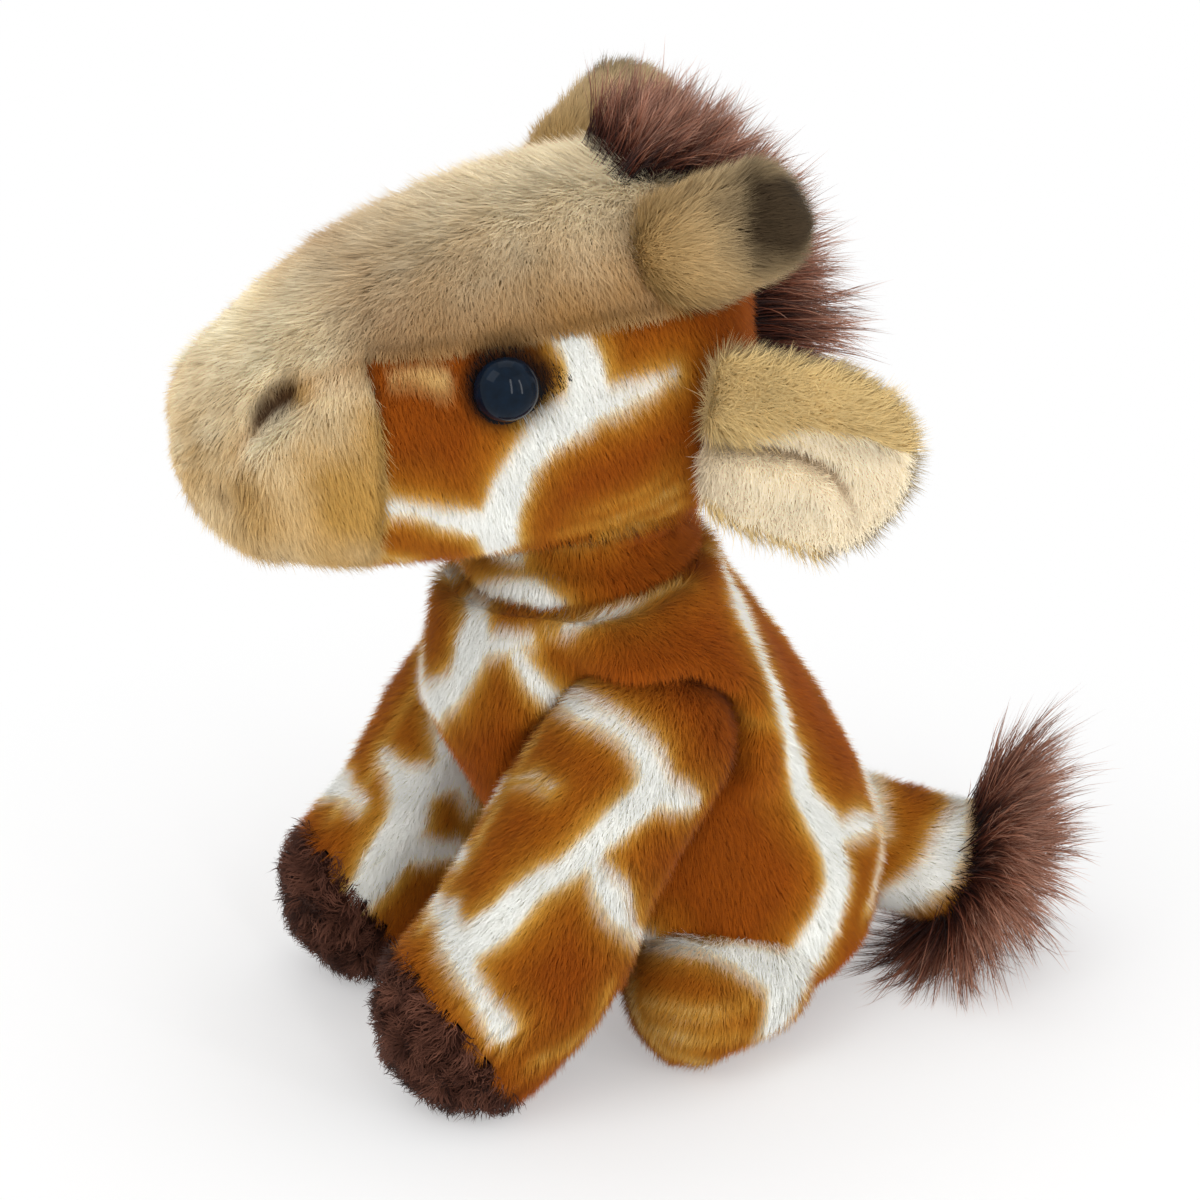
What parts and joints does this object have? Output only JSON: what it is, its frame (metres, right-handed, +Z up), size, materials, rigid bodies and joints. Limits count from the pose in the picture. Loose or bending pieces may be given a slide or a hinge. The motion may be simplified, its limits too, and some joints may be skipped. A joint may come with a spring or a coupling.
{
  "type": "plush giraffe",
  "caption": "Sitting plush giraffe with printed patches, stubby horns, floppy ears, a long-haired mane and a tufted tail; head, ears, front legs and tail flex at their seams.",
  "frame": {"origin": "on the floor below the middle of the toy's bounding box", "axes": "+Z up, the toy faces -Y and its left side is +X"},
  "size_m": [0.1278, 0.1824, 0.1949],
  "materials": {
    "brown_patch": "short printed plush, brown patches on white",
    "golden": "short printed plush, golden patch edges",
    "beige": "long soft pile",
    "cream": "short soft pile",
    "hoof_brown": "curly dark plush",
    "mane_brown": "long loose hair",
    "eye_black": "high gloss",
    "stuffing": "loose polyester fibre",
    "clear_plastic": "satin"
  },
  "bodies": {
    "trunk": {"body_panel_left": "brown_patch", "body_panel_right": "brown_patch", "base_panel": "golden", "body_stuffing": "stuffing", "pellet_bag": "clear_plastic", "hind_leg_left": "golden", "hind_leg_right": "golden"},
    "neck": {"neck_panel": "brown_patch", "neck_stuffing": "stuffing"},
    "head": {"forehead_panel": "beige", "muzzle_panel_left": "beige", "muzzle_panel_right": "beige", "face_panel_left": "brown_patch", "face_panel_right": "brown_patch", "head_stuffing": "stuffing", "horn_left": "beige", "horn_right": "beige", "mane": "mane_brown", "eye_left": "eye_black", "eye_right": "eye_black", "eye_patch_left": "eye_black", "eye_patch_right": "eye_black", "eye_washer_left": "clear_plastic", "eye_washer_right": "clear_plastic"},
    "ear_flap_left": {"ear_left": "beige", "ear_lining_left": "cream"},
    "ear_flap_right": {"ear_right": "beige", "ear_lining_right": "cream"},
    "front_leg_left": {"leg_left": "golden", "leg_stuffing_left": "stuffing", "hoof_left": "hoof_brown", "sole_left": "hoof_brown"},
    "front_leg_right": {"leg_right": "golden", "leg_stuffing_right": "stuffing", "hoof_right": "hoof_brown", "sole_right": "hoof_brown"},
    "tail": {"tail": "golden", "tail_tuft": "mane_brown"}
  },
  "joints": [
    {"name": "neck_turn", "type": "hinge", "parent": "trunk", "child": "neck", "pos_m": [0, -0.01075, 0.104], "axis": [0, 0, 1], "range_deg": [-30, 30], "stiffness_Nm_per_rad": 0.3},
    {"name": "head_nod", "type": "hinge", "parent": "neck", "child": "head", "pos_m": [0, -0.01075, 0.104], "axis": [1, 0, 0], "range_deg": [-6, 6], "stiffness_Nm_per_rad": 1},
    {"name": "ear_fold_left", "type": "hinge", "parent": "head", "child": "ear_flap_left", "pos_m": [0.03349, -0.00023, 0.13852], "axis": [0, 0, 1], "range_deg": [-25, 15], "stiffness_Nm_per_rad": 0.1},
    {"name": "ear_fold_right", "type": "hinge", "parent": "head", "child": "ear_flap_right", "pos_m": [-0.03349, -0.00023, 0.13852], "axis": [0, 0, 1], "range_deg": [-15, 25], "stiffness_Nm_per_rad": 0.1},
    {"name": "leg_lift_left", "type": "hinge", "parent": "trunk", "child": "front_leg_left", "pos_m": [0.028, -0.00775, 0.06997], "axis": [1, 0, 0], "range_deg": [-20, 0], "stiffness_Nm_per_rad": 0.5},
    {"name": "leg_lift_right", "type": "hinge", "parent": "trunk", "child": "front_leg_right", "pos_m": [-0.028, -0.00775, 0.06997], "axis": [1, 0, 0], "range_deg": [-20, 0], "stiffness_Nm_per_rad": 0.5},
    {"name": "tail_swing", "type": "hinge", "parent": "trunk", "child": "tail", "pos_m": [0, 0.05095, 0.0245], "axis": [0, 0, 1], "range_deg": [-10, 35], "stiffness_Nm_per_rad": 0.3}
  ]
}
